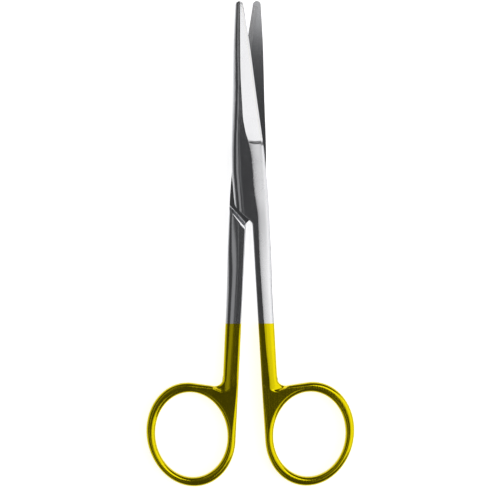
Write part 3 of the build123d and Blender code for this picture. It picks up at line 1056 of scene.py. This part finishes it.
STEEL: Colour = (0.60, 0.605, 0.62)
STEEL_DARK: Colour = (0.44, 0.445, 0.46)
METALS: Dict[Finish, Metal] = {
    Finish.POLISHED: Metal(STEEL, STEEL_DARK, 0.10, 0.08, 0.0006, 0.10, 0.10, 0.010, 0.016),
    Finish.GROUND: Metal((0.72, 0.72, 0.73), STEEL_DARK, 0.24, 0.06, 0.0025, 0.2, 0.08),
    Finish.SATIN: Metal(STEEL, STEEL_DARK, 0.085, 0.04, 0.003, 0.22, 0.08),
    Finish.PLATED: Metal((0.66, 0.55, 0.003), (0.56, 0.44, 0.002), 0.11, 0.08, 0.0006, 0.12, 0.10, 0.012, 0.020),
    Finish.CARBIDE: Metal((0.62, 0.62, 0.63), (0.46, 0.46, 0.47), 0.10, 0.04, 0.003, 0.20, 0.05),
    Finish.BRAZE: Metal((0.72, 0.71, 0.68), (0.56, 0.55, 0.50), 0.24, 0.08, 0.002, 0.20, 0.05),
    # the run-out's ground steel; painted shade is mixed into its colour in the material
    Finish.RUNOUT_SHADE: Metal((0.72, 0.72, 0.73), STEEL_DARK, 0.25, 0.06, 0.0025, 0.2, 0.05),
    Finish.SCREW: Metal(STEEL, STEEL_DARK, 0.16, 0.06, 0.002, 0.15, 0.10),
}


def material(finish: Finish) -> bpy.types.Material:
    """The material of a finish, made once."""
    if finish not in _MATERIALS:
        _MATERIALS[finish] = METALS[finish].make(finish)
    return _MATERIALS[finish]


# ---------------------------------------------------------------------------- studio

@dataclass(frozen=True)
class SoftBox:
    """Area light: which way it lies from the joint, how far, how large and how bright."""

    name: str
    bearing: float         # degrees, 0 towards +x, 90 towards the tips
    low: float             # lean from overhead at which the light begins, in degrees
    high: float            # lean at which it ends
    length: float          # size square to the lean, in metres
    radiance: float
    distance: float = 0.8

    def make(self, aim: Array) -> None:
        """Places the light on its bearing, facing the aim."""
        data = bpy.data.lights.new(self.name, "AREA")
        data.shape = "RECTANGLE"
        span = 2 * self.distance * math.tan(math.radians(self.high - self.low) / 2)
        data.size, data.size_y = self.length, span
        data.energy = self.radiance * math.pi * self.length * span
        lamp = bpy.data.objects.new(self.name, data)
        lean, bearing = math.radians(self.low + self.high) / 2, math.radians(self.bearing)
        away = np.array([math.sin(lean) * math.cos(bearing), math.sin(lean) * math.sin(bearing), math.cos(lean)])
        lamp.location = aim + away * self.distance
        from mathutils import Vector
        lamp.rotation_euler = Vector(away).to_track_quat("Z", "Y").to_euler()
        bpy.context.scene.collection.objects.link(lamp)


@dataclass
class Studio:
    """Pale floor, soft lights and the camera straight above."""

    lens: float = 120.0
    view_width: float = 0.1495
    subject_height: float = 0.003
    centre: Tuple[float, float] = (0.00019, -0.0020)
    roll: float = math.radians(-0.31)
    floor_size: float = 6.0
    lights: Tuple[SoftBox, ...] = (
        SoftBox("key_low", 0, 8, 19, 0.9, 0.66),
        SoftBox("key_middle", 0, 19, 31, 0.9, 0.95),
        SoftBox("key_high", 0, 31, 80, 0.9, 1.25),
        SoftBox("strip_dim", 180, 8, 12.5, 1.3, 0.13),
        SoftBox("strip_left", 180, 19, 31, 1.3, 0.32),
        SoftBox("fill_left", 180, 62, 85, 1.3, 0.5),
        SoftBox("back_top", 65, 9.8, 22, 0.18, 0.72),
        SoftBox("accent", 45, 12, 34, 0.3, 0.75),
    )

    def make_floor(self) -> None:
        """Wide pale floor, slightly self-lit so that it stays even."""
        half = self.floor_size / 2
        corners = [(-half, -half, 0), (half, -half, 0), (half, half, 0), (-half, half, 0)]
        mesh = bpy.data.meshes.new("floor")
        mesh.from_pydata(corners, [], [(0, 1, 2, 3)])
        floor = bpy.data.objects.new("floor", mesh)
        bpy.context.scene.collection.objects.link(floor)
        made = bpy.data.materials.new("pale_floor")
        made.use_nodes = True
        shader = made.node_tree.nodes["Principled BSDF"]
        shader.inputs["Base Color"].default_value = (0.86, 0.86, 0.86, 1)
        shader.inputs["Roughness"].default_value = 0.9
        shader.inputs["Emission Color"].default_value = (1, 1, 1, 1)
        shader.inputs["Emission Strength"].default_value = 0.78
        mesh.materials.append(made)

    def make_world(self) -> None:
        """Surroundings: dark overhead, brighter towards the horizon."""
        world = bpy.data.worlds.new("studio")
        bpy.context.scene.world = world
        world.use_nodes = True
        tree = world.node_tree
        tree.nodes.clear()
        out = tree.nodes.new("ShaderNodeOutputWorld")
        back = tree.nodes.new("ShaderNodeBackground")
        place = tree.nodes.new("ShaderNodeTexCoord")
        parts = tree.nodes.new("ShaderNodeSeparateXYZ")
        ramp = tree.nodes.new("ShaderNodeValToRGB")
        ramp.color_ramp.elements[0].position = 0.0
        ramp.color_ramp.elements[0].color = (0.45, 0.45, 0.455, 1)
        ramp.color_ramp.elements[1].position = 0.8
        ramp.color_ramp.elements[1].color = (0.06, 0.06, 0.062, 1)
        low = ramp.color_ramp.elements.new(0.2)
        low.color = (0.12, 0.12, 0.122, 1)
        tree.links.new(place.outputs["Generated"], parts.inputs[0])
        tree.links.new(parts.outputs["Z"], ramp.inputs["Fac"])
        tree.links.new(ramp.outputs["Color"], back.inputs["Color"])
        tree.links.new(back.outputs[0], out.inputs["Surface"])

    def make_camera(self) -> None:
        """Long lens straight above, square to the table."""
        data = bpy.data.cameras.new("camera")
        data.lens = self.lens
        data.sensor_width = 36.0
        data.clip_start, data.clip_end = 0.01, 20.0
        camera = bpy.data.objects.new("camera", data)
        height = self.view_width * self.lens / data.sensor_width
        camera.location = (self.centre[0], self.centre[1], height + self.subject_height)
        camera.rotation_euler = (0, 0, self.roll)
        bpy.context.scene.collection.objects.link(camera)
        bpy.context.scene.camera = camera

    def make(self, aim: Array) -> None:
        """Builds the studio round the scissors."""
        self.make_floor()
        self.make_world()
        self.make_camera()
        for light in self.lights:
            light.make(aim)
        settings = bpy.context.scene.view_settings
        settings.view_transform = "Standard"
        settings.look = "None"


def main() -> None:
    """Builds the two halves, the screw and the studio."""
    logging.basicConfig(level=logging.INFO, format="%(name)s %(message)s")
    joint = next(j for j in frame["record"]["behaviour"]["joints"] if j["name"] == "pivot")
    front = Seat.from_joint(joint, True)
    rear = Seat.from_joint(joint, False)
    for side, seat in (("front", front), ("rear", rear)):
        Half(side, seat).make()
    PivotScrew(front).make()
    Studio().make(np.array(joint["pos_m"]))


if __name__ == "__main__":
    main()
